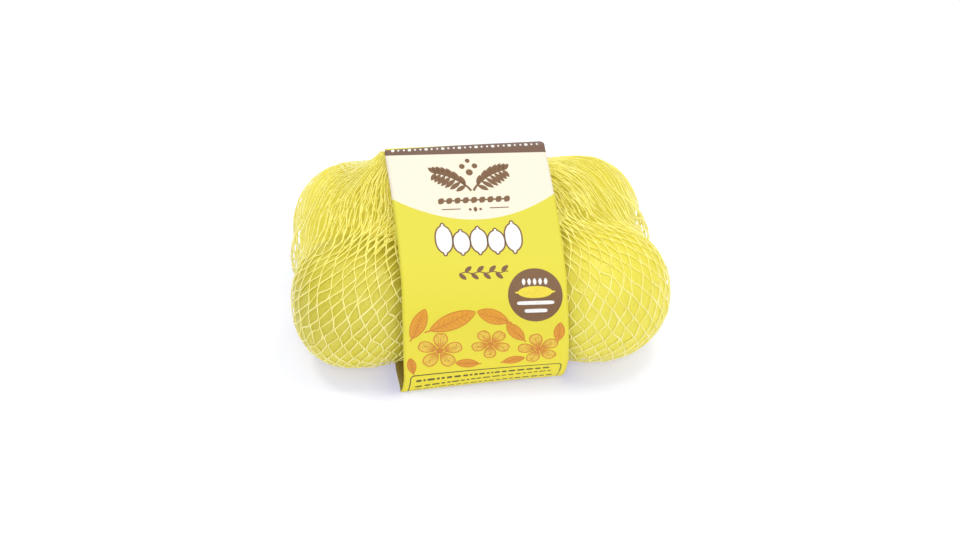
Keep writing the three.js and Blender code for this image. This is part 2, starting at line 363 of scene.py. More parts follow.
LEMON_LOBES = [lobe(row) for row in LEMONS.values()]
LOBES = LEMON_LOBES + [lobe(row) for row in BRIDGES]


def ripple(directions, rng, waves, lowest, highest):
    """Smooth unevenness over a sphere, about -1 to 1."""
    total = np.zeros(len(directions))
    for _ in range(waves):
        axis = rng.normal(size=3)
        axis *= rng.uniform(lowest, highest) / norm(axis)
        total += sin(directions @ axis + rng.uniform(0, 2 * pi))
    return total / math.sqrt(waves)


PEEL_SUNK = 0.2  # the peel lies this far inside its lobe
# Its unevenness: how high, from how many waves, and their lowest and highest pitch.
PEEL_RIPPLES = ((0.22, 8, 2.5, 7), (0.07, 14, 16, 34))
DIMPLE = 1.7
DIMPLE_SPREAD = 0.2  # radians from the stem's axis, as the next two are
CREASES_AT = 0.2
CREASES_SPREAD = 0.09
CREASES = 7
CREASE_HEIGHT = 0.3
BUTTON_RADIUS = 3.1
BUTTON_THICK = 1.2
BUTTON_ROOT = 1.0  # how far it goes on into the peel
BUTTON_SET_IN = 0.6
BUTTON_SIDES, BUTTON_RINGS = 30, 7
BUTTON_TOP = 0.96  # leaves its last ring a small radius
BUTTON_LOBES, BUTTON_LOBE, BUTTON_UNEVEN = 5, 0.2, 0.06


def add_lemon(name, fruit, slack, materials, seed):
    rng = np.random.default_rng(seed)
    stem, tip = fruit["stem"] - slack, fruit["tip"] + fruit["side"] * TIP_SHORT
    reach = reach_table(dict(fruit, stem=stem, tip=tip), LEMON_RINGS)
    angles = pi * arange(LEMON_RINGS + 1) / LEMON_RINGS
    polar, turn = (a.ravel() for a in np.meshgrid(angles[1:-1], loop(LEMON_SIDES), indexing="ij"))
    poles = np.array([[1.0, 0, 0], [-1.0, 0, 0]])
    rings = side_by(cos(polar), sin(polar) * cos(turn), sin(polar) * sin(turn))
    directions = join([rings, poles])
    polar = join([polar, [0, pi]])
    distance = np.interp(polar, angles, reach) - PEEL_SUNK
    for height, *waves in PEEL_RIPPLES:
        distance += height * ripple(directions, rng, *waves)
    distance -= DIMPLE * exp(-((polar / DIMPLE_SPREAD) ** 2))
    folds = cos(CREASES * join([turn, [0, 0]]) + rng.uniform(0, 6))
    near_stem = exp(-(((polar - CREASES_AT) / CREASES_SPREAD) ** 2))
    distance += CREASE_HEIGHT * folds * near_stem
    points = directions * distance[:, None]
    triangles = capped_rings(LEMON_RINGS - 1, LEMON_SIDES)

    button_points, button_faces = stem_button_mesh(rng, stem - DIMPLE - BUTTON_SET_IN)
    triangles = join([triangles, button_faces + len(points)])
    slots = np.zeros(len(triangles), int)
    slots[-len(button_faces):] = 1
    points = join([points, button_points])
    points[:, 0] *= fruit["side"]
    if fruit["side"] < 0:
        triangles = triangles[:, ::-1]
    return mesh_piece(name, points + fruit["centre"], triangles, materials, slots)


def stem_button_mesh(rng, start):
    """The dried stem: a low knob with an uneven lobed rim, pointing along +X."""
    angle = loop(BUTTON_SIDES)
    lobes = 1 + BUTTON_LOBE * cos(BUTTON_LOBES * angle + rng.uniform(0, 6))
    lobes = lobes + BUTTON_UNEVEN * rng.normal(size=BUTTON_SIDES)
    foot, crown = start - BUTTON_ROOT, start + BUTTON_THICK
    points = []
    for share in linspace(0, 1, BUTTON_RINGS):
        out = BUTTON_RADIUS * math.cos(share * pi / 2 * BUTTON_TOP)
        up = foot + (BUTTON_ROOT + BUTTON_THICK) * math.sin(share * pi / 2)
        rim = out * (1 + (lobes - 1) * (1 - share))
        points.append(side_by(up, rim * cos(angle), rim * sin(angle)))
    points.append([[foot, 0, 0], [crown, 0, 0]])
    return join(points), capped_rings(BUTTON_RINGS, BUTTON_SIDES)[:, ::-1]


# ---- the card sleeve
CARD = 0.7
GAP = 0.4
WIDTH = 69.0
SLEEVE_X = 1.4
RIDGE_SHIFT = -5.5
LEAN_FROM_Z = 50
LEAN_POWER = 1.6
RIDGE_RADIUS = 10
SIDE_RADIUS = 31.4
SIDE_ENDS_AT = math.radians(-8)
FOLD_LEAD = 9
LEFT_FLARE = 1.6
FLARE_TO_Z = 9
BASE_SPREAD = 1.9
BASE_SPREAD_OVER = 22
RIGHT_DRAW = 2.65
DRAW_TO_Z = 17
DRAW_POWER = 1.6
RIGHT_BOW = 1.2
BOW_TO_Z = 50
BACK_TUCK = 2.2
BACK_TUCK_OVER = 6
TUCK_FROM_Z, TUCK_TO_Z = 50, 68
LEFT = dict(ridge_y=0, ridge_z=75.5, side_y=29.9, side_z=31.4,
            front_fold=59.2, front_turn=2, back_fold=54, back_turn=3)
RIGHT = dict(ridge_y=1.8, ridge_z=76.3, side_y=29.8, side_z=31.4,
             front_fold=54.6, front_turn=12, back_fold=57, back_turn=5)
RIDGE_STEPS, PANEL_STEPS, SIDE_STEPS, LOWER_STEPS, FOLD_STEPS, BASE_STEPS = 24, 22, 40, 22, 12, 30
SLEEVE_COLUMNS = 42
BASE_Z, BASE_LOWEST = 0.01, -1  # only what lies on the base may go below 0, down to this
EDGE_SAMPLES = 2000
# The card springs in a little, in leaning waves that fade out towards ridge and base.
WAVE_DEPTH = 0.14
WAVE_ENDS, WAVE_FADES, WAVE_GROWS = 105, 40, 30
WAVES, WAVE_LEAN = 2.1, 0.031
WAVE_DOWN, WAVE_START = 0.071, 1.2


def arc(out, z, radius, start, end, steps):
    angle = linspace(start, end, steps + 1)
    cosine, sine = cos(angle), sin(angle)
    return side_by(out + radius * cosine, z + radius * sine, cosine, sine)


def half_section(ridge_out, ridge_z, side_out, side_z, fold, turn):
    """From the ridge down one side to the middle of the base, as rows of out, z and their normal."""
    apart = math.hypot(side_z - ridge_z, side_out - ridge_out)
    down = math.atan2(side_z - ridge_z, side_out - ridge_out)
    panel_angle = down + math.acos((RIDGE_RADIUS - SIDE_RADIUS) / apart)
    ridge = arc(ridge_out, ridge_z, RIDGE_RADIUS, pi / 2, panel_angle, RIDGE_STEPS)
    side = arc(side_out, side_z, SIDE_RADIUS, panel_angle, SIDE_ENDS_AT, SIDE_STEPS)
    panel = between(ridge[-1], side[0], linspace(0, 1, PANEL_STEPS + 1)[:, None])

    start, normal = side[-1, :2], side[-1, 2:]
    control = start + FOLD_LEAD * np.array([normal[1], -normal[0]])
    corner = np.array([fold, 0.0])
    run = (corner - control) / norm(corner - control)
    fold_angle = math.atan2(run[0], -run[1])
    cut = turn * math.tan((fold_angle + pi / 2) / 2)
    end = corner - run * cut
    share = linspace(0, 1, LOWER_STEPS + 1)[:, None]
    points = (1 - share) ** 2 * start + 2 * share * (1 - share) * control + share**2 * end
    heading = between(control - start, end - control, share)
    heading /= norm(heading, axis=1)[:, None]
    lower = join([points, -heading[:, 1:], heading[:, :1]], 1)
    turned = arc(fold - cut, turn, turn, fold_angle, -pi / 2, FOLD_STEPS)
    share = linspace(0, 1, BASE_STEPS + 1)
    base = side_by((fold - cut) * (1 - share), 0, 0, -1)
    return join([ridge, panel[1:], side[1:], lower[1:], turned[1:], base[1:]])


def sleeve_section(share):
    """The section at `share` of the width, from the base's middle up the back and down the front."""
    at = {key: between(LEFT[key], RIGHT[key], share) for key in LEFT}
    side = (at["side_y"], at["side_z"])
    front = half_section(-at["ridge_y"], at["ridge_z"], *side, at["front_fold"], at["front_turn"])
    back = half_section(at["ridge_y"], at["ridge_z"], *side, at["back_fold"], at["back_turn"])
    return join([back[::-1], (front * [-1, 1, -1, 1])[1:]]), len(back) - 1


def edges(share, y, z):
    """Where the left and the right edge stand, at the places' own y and z."""
    lean = maximum(0, (z - LEAN_FROM_Z) / (LEFT["ridge_z"] + RIDGE_RADIUS - LEAN_FROM_Z))
    middle = SLEEVE_X + RIDGE_SHIFT * lean**LEAN_POWER
    inside = minimum(y + LEFT["front_fold"], LEFT["back_fold"] - y)
    low = maximum(0, 1 - z / FLARE_TO_Z) ** 2
    flare = low * (LEFT_FLARE + BASE_SPREAD * smoothstep(inside / BASE_SPREAD_OVER))
    bow = RIGHT_BOW * sin(pi * sqrt(clip(z / BOW_TO_Z, 0, 1)))
    behind = y - LEFT["ridge_y"] * (1 - share) - RIGHT["ridge_y"] * share
    high = smoothstep((z - TUCK_FROM_Z) / (TUCK_TO_Z - TUCK_FROM_Z))
    tuck = BACK_TUCK * smoothstep(behind / BACK_TUCK_OVER) * high
    draw = RIGHT_DRAW * maximum(0, 1 - z / DRAW_TO_Z) ** DRAW_POWER
    return middle - WIDTH / 2 - flare, middle + WIDTH / 2 + bow - draw - tuck


def wave(share, down):
    away = np.abs(down)
    fade = smoothstep((WAVE_ENDS - away) / WAVE_FADES) * smoothstep(away / WAVE_GROWS)
    across = sin(WAVES * pi * share + down * WAVE_LEAN)
    return -WAVE_DEPTH * fade * (1 + across * sin(down * WAVE_DOWN + WAVE_START))


class Sleeve:
    """The outer face of the sleeve, with every place on it given as (across, down): millimetres
    from its left edge, and millimetres from the top of the ridge down the front, - down the back."""

    def __init__(self, columns):
        made = [sleeve_section(share) for share in linspace(0, 1, columns)]
        self.sections = np.array([section for section, _ in made])
        middle = self.sections[columns // 2]
        ridge = made[0][1]
        runs = np.hypot(*np.diff(middle[:, :2], axis=0).T)
        self.down = join([[0], np.cumsum(runs)])
        self.down -= self.down[ridge]

    def at(self, across, down, lift=0.0):
        """The points at these places, each raised by lift from the card."""
        across, down = np.broadcast_arrays(np.asarray(across, float), np.asarray(down, float))
        shape = across.shape
        share, down = across.ravel() / WIDTH, down.ravel()
        last = len(self.sections) - 1
        place = clip(share * last, 0, last - TINY)
        column, aside = place.astype(int), (place % 1)[:, None]
        row = clip(np.searchsorted(self.down, down, "right") - 1, 0, len(self.down) - 2)
        step = ((down - self.down[row]) / (self.down[row + 1] - self.down[row]))[:, None]
        near, far = (between(self.sections[each, row], self.sections[each, row + 1], step)
                     for each in (column, column + 1))
        y, z, y_normal, z_normal = between(near, far, aside).T
        left, right = edges(share, y, z)
        lift = (np.asarray(lift, float) * np.ones(shape)).ravel() + wave(share, down)
        size = np.hypot(y_normal, z_normal)
        x = between(left, right, share)
        y = y + lift * y_normal / size
        z = maximum(z + lift * z_normal / size, where(z < BASE_Z, BASE_LOWEST, 0))
        return side_by(x, y, z).reshape(*shape, 3)


sleeve = Sleeve(SLEEVE_COLUMNS + 1)
far_right = sleeve.at(WIDTH, linspace(sleeve.down[0], sleeve.down[-1], EDGE_SAMPLES))
FRAME_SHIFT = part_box("card_sleeve")[1].x / MM - far_right[:, 0].max()

# Fields of colour on the card, as places down from the ridge.
STRIP_BACK = (-1.5, -6.5)  # its limits at the left and at the right edge
STRIP_FRONT = (2.8, 5.0)
CREAM_FOOT = 35.4
CREAM_RISE = 0.0092  # per mm squared away from the middle
CREAM_AT = 35.0
YELLOW_DEEPENS = (50, 105)
FIBRES_SHOW = 0.05


def card_print():
    look = material("card_print", 0.5, Specular_IOR_Level=0.3)
    place = look.node("ShaderNodeAttribute", attribute_name="sleeve_place").outputs["Vector"]
    parts = look.parts(place)
    across, down, outside = parts["X"], parts["Y"], parts["Z"]
    yellow = look.mix(look.spread(down, *YELLOW_DEEPENS), rgb(230, 221, 70), rgb(243, 228, 62))
    away = look.math("SUBTRACT", across, CREAM_AT)
    cream_foot = look.math("MULTIPLY_ADD", look.math("MULTIPLY", away, away), -CREAM_RISE, CREAM_FOOT)
    above_foot = look.math("LESS_THAN", down, cream_foot)
    below_ridge = look.math("GREATER_THAN", down, look.spread(across, 0, WIDTH, *STRIP_BACK))
    cream = look.math("MULTIPLY", above_foot, below_ridge)
    above_cream = look.math("LESS_THAN", down, look.spread(across, 0, WIDTH, *STRIP_FRONT))
    strip = look.math("MULTIPLY", above_cream, below_ridge)
    colour = look.mix(cream, yellow, rgb(248, 240, 218))
    colour = look.mix(strip, colour, rgb(119, 91, 78))
    # The inner face takes a dark olive: painted shade inside the sleeve, over a paler card.
    colour = look.mix(outside, rgb(172, 154, 96), colour)
    fibres = look.noise(1.1, 3)
    colour = look.mix(look.spread(fibres, 0.35, 0.7, 0.0, FIBRES_SHOW), colour, rgb(214, 200, 120))
    return look.feed(Base_Color=colour, Normal=look.bump(fibres, 0.03, 0.5))


def add_sleeve():
    """One closed sheet of card: rings across its outer face, and back across its inner face."""
    across, down = linspace(0, WIDTH, SLEEVE_COLUMNS + 1)[:, None], sleeve.down[None, :-1]
    points = join([sleeve.at(across, down), sleeve.at(across[::-1], down, -CARD)])
    rings, ring = points.shape[:2]
    faces = grid_faces(rings + 1, ring)[:, ::-1] % (rings * ring)
    made = mesh_piece("card_sleeve_shell", points.reshape(-1, 3), faces, [card_print()])
    attribute = made.data.attributes.new("sleeve_place", "FLOAT_VECTOR", "POINT")
    places = join([side_by(across, down, 1.0), side_by(across[::-1], down, 0.0)])
    attribute.data.foreach_set("vector", places.astype(np.float32).ravel())
    return made


# ---- the print on the card
# Each ink is one piece: thin plates that lie on the card, drawn in (across, down) places.
INKS = {  # each one's colour and layer
    "brown": ((130, 94, 60), 1),
    "white": ((253, 252, 247), 2),
    "gold": ((247, 224, 62), 2),
    "rust": ((222, 136, 38), 2),
    "orange": ((237, 166, 40), 1),
    "amber": ((243, 208, 68), 1),
    "olive": ((98, 88, 40), 1),
}
INK_LIFT = 0.04  # of each layer of ink over the one below
INK_ROOT = -0.03  # the plates' undersides lie in the card
INK_STEP = 1.3  # longest stretch of a plate between two points
OUTLINE = 0.45  # width of a drawn edge
IN_OUTLINE = 0.95  # size of the colour inside a drawn edge
PRINT_SEED = 23


class Ink:
    """Shapes of one colour, gathered into one mesh."""

    def __init__(self, name, colour, layer):
        self.name, self.lift = f"print_{name}", INK_LIFT * layer
        self.material = ink(f"ink_{name}", rgb(*colour))
        self.points, self.faces, self.count = [], [], 0
        self.on_back = False

    def plate(self, places, triangles):
        """A thin closed plate over flat triangles, wound so that they face out of the card."""
        across, down = places[:, 0], places[:, 1]
        if self.on_back:
            across, down = WIDTH - across, -down
        top = sleeve.at(across, down, self.lift)
        under = sleeve.at(across, down, INK_ROOT)
        count = len(places)
        edges = join([triangles[:, [0, 1]], triangles[:, [1, 2]], triangles[:, [2, 0]]])
        paired = set(map(tuple, edges[:, ::-1]))
        rim = np.array([edge for edge in map(tuple, edges) if edge not in paired])
        start, end = rim[:, 0], rim[:, 1]
        walls = side_by(start, start + count, end + count), side_by(start, end + count, end)
        faces = join([triangles, triangles[:, ::-1] + count, *walls])
        self.points += [top, under]
        self.faces.append(faces + self.count)
        self.count += 2 * count

    def blob(self, at, outline, angle=0.0):
        """A filled shape. outline is a loop of (right, up) points round its middle."""
        outline = turned(outline, angle)
        rings = max(1, math.ceil(np.abs(outline).max() / INK_STEP))
        sides = len(outline)
        shares = arange(1, rings + 1) / rings
        offsets = join([[[0, 0]], (shares[:, None, None] * outline[None]).reshape(-1, 2)])
        ring = arange(sides)
        after = (ring + 1) % sides
        triangles = [side_by(0, 1 + ring, 1 + after)]
        if rings > 1:
            quads = grid_faces(rings, sides) + 1
            triangles += [quads[:, [0, 3, 2]], quads[:, [0, 2, 1]]]
        self.plate(on_page(at, offsets), join(triangles))

    def line(self, at, path, width, angle=0.0, closed=False):
        """A stroke along (right, up) points of at; width is one number or one a point."""
        path = on_page(at, turned(path, angle))
        ahead, behind = roll(path, -1, 0), roll(path, 1, 0)
        if not closed:
            ahead[-1], behind[0] = path[-1], path[0]
        side = square_to(unit(ahead - behind)) * (np.broadcast_to(width, len(path)) / 2)[:, None]
        places = np.stack([path - side, path + side], 1).reshape(-1, 2)
        here = arange(len(path) if closed else len(path) - 1) * 2
        after = (here + 2) % len(places)
        halves = side_by(here, after, after + 1), side_by(here, after + 1, here + 1)
        self.plate(places, join(halves))

    def piece(self):
        points, faces = join(self.points), join(self.faces)
        return mesh_piece(self.name, points, faces, [self.material], smooth=False)


def square_to(along):
    """The direction square to each flat one."""
    return along[:, ::-1] * [1, -1]


def turned(outline, angle):
    cosine, sine = math.cos(math.radians(angle)), math.sin(math.radians(angle))
    return np.asarray(outline) @ np.array([[cosine, sine], [-sine, cosine]])


def on_page(at, offset):
    """The (across, down) place of a point (right, up) of `at`."""
    return np.array(at) + np.asarray(offset) * [1, -1]


def out_from(at, radius, angle):
    return on_page(at, turned([[radius, 0]], angle))[0]


def sized(right, up, length, width):
    """A loop of points from its two coordinates, each from about -1 to 1."""
    return side_by(right * length / 2, up * width / 2)


def rounded(width, height, square, points):
    """An oval; square below 1 makes it a bar with rounded ends."""
    angle = loop(points)
    right, up = (np.sign(each) * np.abs(each) ** square for each in (cos(angle), sin(angle)))
    return sized(right, up, width, height)


def dot(size, points):
    return rounded(size, size, 1, points)


def leaf(length, width, points=28):
    """Pointed at both ends."""
    cosine, sine = cos(loop(points)), sin(loop(points))
    return sized(cosine, sine * np.abs(sine) ** 0.6, length, width)


def petal(length, width, points=26):
    """Narrow at its foot on the left, broad and slightly notched at the right."""
    angle = loop(points)
    broad = 0.5 + 0.5 * cos(angle - 0.6 * sin(angle))
    notch = 1 - 0.12 * exp(-((sin(angle / 2) / 0.16) ** 2))
    return sized(cos(angle) * notch, sin(angle) * (0.35 + 0.65 * broad), length, width)


def fruit_outline(length, width, points=44):
    """A lemon seen from the side, its tips to left and right."""
    along, sine = cos(loop(points)), sin(loop(points))
    body = maximum(0, 1 - np.abs(along / 0.84) ** 2.3) ** 1.6
    nipple = 0.2**3 * maximum(0, 1 - along**8) ** 1.5
    return sized(along, np.sign(sine) * np.cbrt(body + nipple), length, width)


def outlined(line, fill, at, outline, angle):
    """A filled shape with a stroke along its edge."""
    fill.blob(at, outline * IN_OUTLINE, angle)
    line.line(at, outline, OUTLINE, angle, closed=True)


RIB = linspace(-0.62, 0.42, 14)
RIB_WIDTHS = linspace(0.6, 0.22, 14)
VEINS_AT = linspace(-0.32, 0.28, 7)
VEIN_WIDTH = 0.26


def drawn_leaf(line, fill, at, length, width, angle):
    """A leaf, its rib and its veins, placed by shares of its length and width."""
    outlined(line, fill, at, leaf(length, width, 36), angle)
    rib = side_by(RIB * length, 0.05 * width * sin(RIB * 5))
    line.line(at, rib, RIB_WIDTHS, angle)
    for share in VEINS_AT:
        reach = 0.3 * math.sqrt(1 - (2.2 * share + 0.1) ** 2)
        for side in (1, -1):
            vein = [[share, 0], [share + 0.05, 0.55 * reach * side], [share + 0.08, reach * side]]
            line.line(at, np.array(vein) * [length, width], VEIN_WIDTH, angle)


def drawn_blossom(line, fill, at, radius, start, rng):
    """Five hatched petals round a ring of dots."""
    for step in range(5):
        angle = start + 72 * step
        middle = out_from(at, 0.57 * radius, angle)
        outlined(line, fill, middle, petal(0.86 * radius, 0.66 * radius), angle)
        for lean in (-20, -10, 0, 10, 20):
            end = rng.uniform(0.5, 0.66) if lean else 0.78
            stroke = [[0.24 * radius, 0], [0.5 * end * radius + 0.12 * radius, 0], [end * radius, 0]]
            line.line(at, stroke, [0.4, 0.3, 0.16], angle + lean)
        for _ in range(9):
            place = out_from(at, rng.uniform(0.6, 0.9) * radius, angle + rng.uniform(-15, 15))
            line.blob(place, dot(0.42, 7))
    line.blob(at, dot(0.3 * radius, 28))
    for step in range(10):
        line.blob(out_from(at, 0.23 * radius, 36 * step), dot(0.55, 8))


PRINT_MIDDLE = 34.6
BEADS, BEADS_FROM, BEAD_PITCH = 27, 3.4, 2.4
BARS_DOWN, DROPS_DOWN = 30.2, 30.6  # three drops with a bar to either side, under the chain
FRUIT_HEIGHTS = (14.6, 11.4, 12.6, 11.4, 14.6)
FRUIT_FROM, FRUIT_PITCH, FRUIT_FOOT, FRUIT_WIDTH = 19.6, 7.3, 51.6, 6.6
FRUIT_BORDER = 0.65
CHAIN_DOWN = 60
DISC_AT, DISC_SIZE = (55.6, 70.3), 22.8


def add_print():
    inks = [Ink(name, colour, layer) for name, (colour, layer) in INKS.items()]
    brown, white, gold, rust, orange, amber, olive = inks
    rng = np.random.default_rng(PRINT_SEED)

    # White beads along the brown strip on the ridge, every third one larger.
    for number in range(BEADS):
        size = (0.85, 1.4) if number % 3 else (1.5, 2.1)
        white.blob((BEADS_FROM + number * BEAD_PITCH, -0.3), rounded(*size, 0.8, 14))

    emblem(brown, (PRINT_MIDDLE, 14.6))
    name_chain(brown, (PRINT_MIDDLE, 26.2))
    for side in (-1, 1):
        brown.line((PRINT_MIDDLE, BARS_DOWN), [[side * out, 0] for out in (6.2, 10, 14.2)], 0.42)
        brown.blob((PRINT_MIDDLE + side * 2.2, DROPS_DOWN), dot(1.2, 14))
    brown.blob((PRINT_MIDDLE, DROPS_DOWN), leaf(2.4, 1.6, 16), 90)

    # A row of white lemons with a brown outline, then a chain of small leaves.
    for number, tall in enumerate(FRUIT_HEIGHTS):
        middle = (FRUIT_FROM + number * FRUIT_PITCH, FRUIT_FOOT - tall / 2)
        outline = fruit_outline(tall, FRUIT_WIDTH)
        white.blob(middle, outline, 90)
        brown.blob(middle, grown(outline, FRUIT_BORDER), 90)
    chain = linspace(24.6, 45.0, 18)
    brown.line((0, CHAIN_DOWN), side_by(chain, -0.35 * sin(chain * 1.1)), 0.45)
    for number in range(8):
        side = 1 if number % 2 else -1
        brown.blob((25.8 + number * 2.55, CHAIN_DOWN - side * 1.6), leaf(3.9, 1.9, 18), 40 * side)

    # A round badge with leaves, a lemon and two plain bars.
    brown.blob(DISC_AT, dot(DISC_SIZE, 72))
    for number in range(5):
        white.blob(on_page(DISC_AT, (-4.6 + number * 2.3, 5.7)), leaf(2.9, 1.5, 16), 90)
    gold.blob(on_page(DISC_AT, (0, 1.3)), fruit_outline(17.0, 5.0))
    for up, width in ((-3.2, 15.5), (-6.6, 9.5)):
        white.blob(on_page(DISC_AT, (0, up)), rounded(width, 1.6, 0.4, 28))

    blossom_band(rust, orange, amber, rng)
    footer(olive, rng, 107.2, 118.0)

    for each in inks:
        each.on_back = True
    emblem(brown, (PRINT_MIDDLE, 22.0))
    blossom_band(rust, orange, amber, rng)
    footer(olive, rng, 40.0, 66.0)
    return [each.piece() for each in inks]


def grown(outline, by):
    """The outline with every point moved out square to it."""
    return outline + by * square_to(unit(roll(outline, -1, 0) - roll(outline, 1, 0)))


SPRIG_LEAVES = ((2, 5.0), (4, 5.8), (6, 6.2), (8, 6.0), (10, 5.6), (12, 4.8), (14, 4.0))
SPRIG_POINTS = 16
BERRIES = ((0, 1.6, 3.0), (-2.7, 4.6, 2.4), (2.7, 4.6, 2.4), (0, 7.2, 2.0))  # right, up, size


def emblem(dark, at):
    """A sprig: two arching branches of leaves with berries between them."""
    for side in (-1, 1):
        reach = linspace(0, 1, SPRIG_POINTS)
        rise = -7.2 + 13.5 * reach**0.8 - 4.2 * reach**2
        branch = side_by(side * (0.5 + 14.8 * reach), rise)
        dark.line(at, branch, linspace(1.0, 0.4, SPRIG_POINTS))
        for step, length in SPRIG_LEAVES:
            for lean in (72, -26):
                heading = side * (lean - step * 2.0)
                middle = branch[step] + turned([[side * length * 0.52, 0]], heading)[0]
                dark.blob(on_page(at, middle), leaf(length, 2.0, 20), heading)
    for right, up, size in BERRIES:
        dark.blob(on_page(at, (right, up)), dot(size, 20))


def name_chain(dark, at, pitch=3.5):
    """A twist of lozenges and beads in a row."""
    for number in range(-4, 5):
        dark.blob(on_page(at, (number * pitch, 0)), leaf(3.4, 2.6, 20), 50)
        if number < 4:
            dark.blob(on_page(at, (number * pitch + pitch / 2, 0)), dot(0.9, 12))


LEAVES = (  # place, length, width and angle
    ((6.6, 81.6), 14.5, 6.0, 66), ((20.8, 80.6), 20.5, 7.2, 22), ((37.6, 79.0), 13.5, 6.0, 158),
    ((46.8, 86.6), 11.0, 5.0, 128), ((65.0, 87.2), 9.0, 4.2, 82), ((26.6, 103.0), 9.5, 4.2, 172),
    ((46.0, 102.6), 9.0, 4.0, 12), ((3.4, 102.4), 7.0, 3.4, 100))
BLOSSOMS = (((15.2, 95.4), 9.6, 14), ((36.4, 92.6), 8.2, 50), ((56.4, 96.4), 8.8, 30))


def blossom_band(line, leaves, petals, rng):
    """Blossoms and leaves across the lower part of the card."""
    for at, length, width, angle in LEAVES:
        drawn_leaf(line, leaves, at, length, width, angle)
    for at, radius, start in BLOSSOMS:
        drawn_blossom(line, petals, at, radius, start, rng)


DASH_ROWS = 2.5  # from one row of dashes to the next, and from the frame to the first
DASHES_FROM, DASHES_TO = 2.4, 4.2  # from the frame's sides
DASH_WIDTHS, DASH_GAPS = (0.9, 3.4), (0.5, 0.9)


def footer(line, rng, top, foot):
    """A thin frame with rounded corners that runs off towards the fold, and fine dashes in it."""
    left, right, turn = 2.9, 66.4, 1.6
    angle = linspace(0, pi / 2, 7)
    cosine, sine = turn * cos(angle), turn * sin(angle)
    start = side_by(left + turn - cosine, top + turn - sine)
    end = side_by(right - turn + sine, top + turn - cosine)
    across = linspace(left + turn, right - turn, 46)[1:-1]
    rise = arange(foot, top + turn, -INK_STEP)
    path = [side_by(left, rise), start, side_by(across, top), end, side_by(right, rise[::-1])]
    line.line((0, 0), join(path) * [1, -1], OUTLINE)
    for number, row in enumerate(arange(top + DASH_ROWS, foot - 1.5, DASH_ROWS)):
        place = left + DASHES_FROM
        while place < right - DASHES_TO:
            width = rng.uniform(*DASH_WIDTHS)
            line.blob((place + width / 2, row), rounded(width, 0.6 if number else 0.95, 0.5, 12))
            place += width + rng.uniform(*DASH_GAPS)


# ---- the mesh bag
# The grid of part.mjs, pulled taut in the same way. The strands are laid over it.
AROUND = 88
GRID_ROWS = 47
PIECE_LENGTH = 3.2
SLACK_PULL = 0.3
PULL_ROUNDS = 700
PULL_STEP = 0.1
PULL_CARRY = 0.85
TOP_LOOP = dict(x=-16.4, y=1.4, z=80.3, half_length=24.2, half_width=3, fall=0.17)
BOTTOM_LOOP = dict(x=1, y=0, z=2.2, half_length=24, half_width=4, fall=0)
LOOSE_LENGTH = 70
LOOSE_WIDTH = 62
LOOSE_ROUND = 0.6
OVER_BASE, OFF_BASE = 3, 12  # outside the sleeve's edge the mesh comes down off the card's base


def rays(shape, points):
    """From a lobe's middle to each point: the way, its length, and how far the lobe reaches."""
    ray = points - shape["centre"]
    distance = norm(ray, axis=1)
    angle = np.arccos(clip(shape["side"] * ray[:, 0] / distance, -1, 1))
    place = angle / pi * REACH_STEPS
    step = minimum(place.astype(int), REACH_STEPS - 1)
    return ray, distance, between(shape["reach"][step], shape["reach"][step + 1], place - step)


def keep_outside(points, stand_off, lobes):
    """Moves the points that lie inside a lobe straight out to stand_off from its surface."""
    for shape in lobes:
        ray, distance, reach = rays(shape, points)
        reach += stand_off
        near = distance < reach
        points[near] = shape["centre"] + ray[near] * (reach[near] / distance[near])[:, None]
    return points


def clearance(points):
    """How far each point lies from the nearest lemon."""
    found = [rays(shape, points) for shape in LEMON_LOBES]
    return np.min([distance - reach for _, distance, reach in found], axis=0)


def lowest_at(x):
    past = np.abs(x - SLEEVE_X) - WIDTH / 2
    return (CARD + GAP) * (1 - smoothstep((past - OVER_BASE) / (OFF_BASE - OVER_BASE)))


def loop_points(ring, angle):
    x = ring["half_length"] * cos(angle)
    y = ring["y"] + ring["half_width"] * sin(angle)
    return side_by(ring["x"] + x, y, ring["z"] - ring["fall"] * x)


def pulled_grid(stand_off):
    """The grid's crossings, pulled taut over the lobes, as rows of AROUND points."""
    row = arange(GRID_ROWS)[:, None]
    column = arange(AROUND)
    share = row / (GRID_ROWS - 1)
    angle = 2 * pi * (column + (row % 2) / 2) / AROUND
    points = between(loop_points(BOTTOM_LOOP, angle), loop_points(TOP_LOOP, angle), share[..., None])
    swell = sin(pi * share) ** LOOSE_ROUND
    points[..., 0] += swell * LOOSE_LENGTH * cos(angle)
    points[..., 1] += swell * LOOSE_WIDTH * sin(angle)

    left = where(row[:-1] % 2, 0, -1)
    # For each way up, the crossing that a piece reaches, and the piece that reaches a crossing.
    reached = [(column + left) % AROUND, (column + left + 1) % AROUND]
    reaching = [(column - left) % AROUND, (column - left - 1) % AROUND]
    pulls = np.zeros_like(points)
    for _ in range(PULL_ROUNDS):
        pulls *= PULL_CARRY
        for upper, lower in zip(reached, reaching):
            span = points[row[1:], upper] - points[:-1]
            length = sqrt((span * span).sum(-1))
            stretch = length - PIECE_LENGTH
            tension = where(stretch < 0, SLACK_PULL, 1.0) * stretch / length * PULL_STEP
            span *= tension[..., None]
            pulls[:-1] += span
            pulls[1:] -= span[row[:-1], lower]
        before = points[1:-1].copy()
        moved = keep_outside((before + pulls[1:-1]).reshape(-1, 3), stand_off, LOBES)
        moved[:, 2] = maximum(moved[:, 2], lowest_at(moved[:, 0]))
        points[1:-1] = moved.reshape(before.shape)
        pulls[1:-1] = points[1:-1] - before
        pulls[0] = pulls[-1] = 0
    return points


HIDDEN_CELLS = 0.66  # of the cells under the sleeve, over the others
HIDDEN_WITHIN = 16  # the change comes this far inside its edges


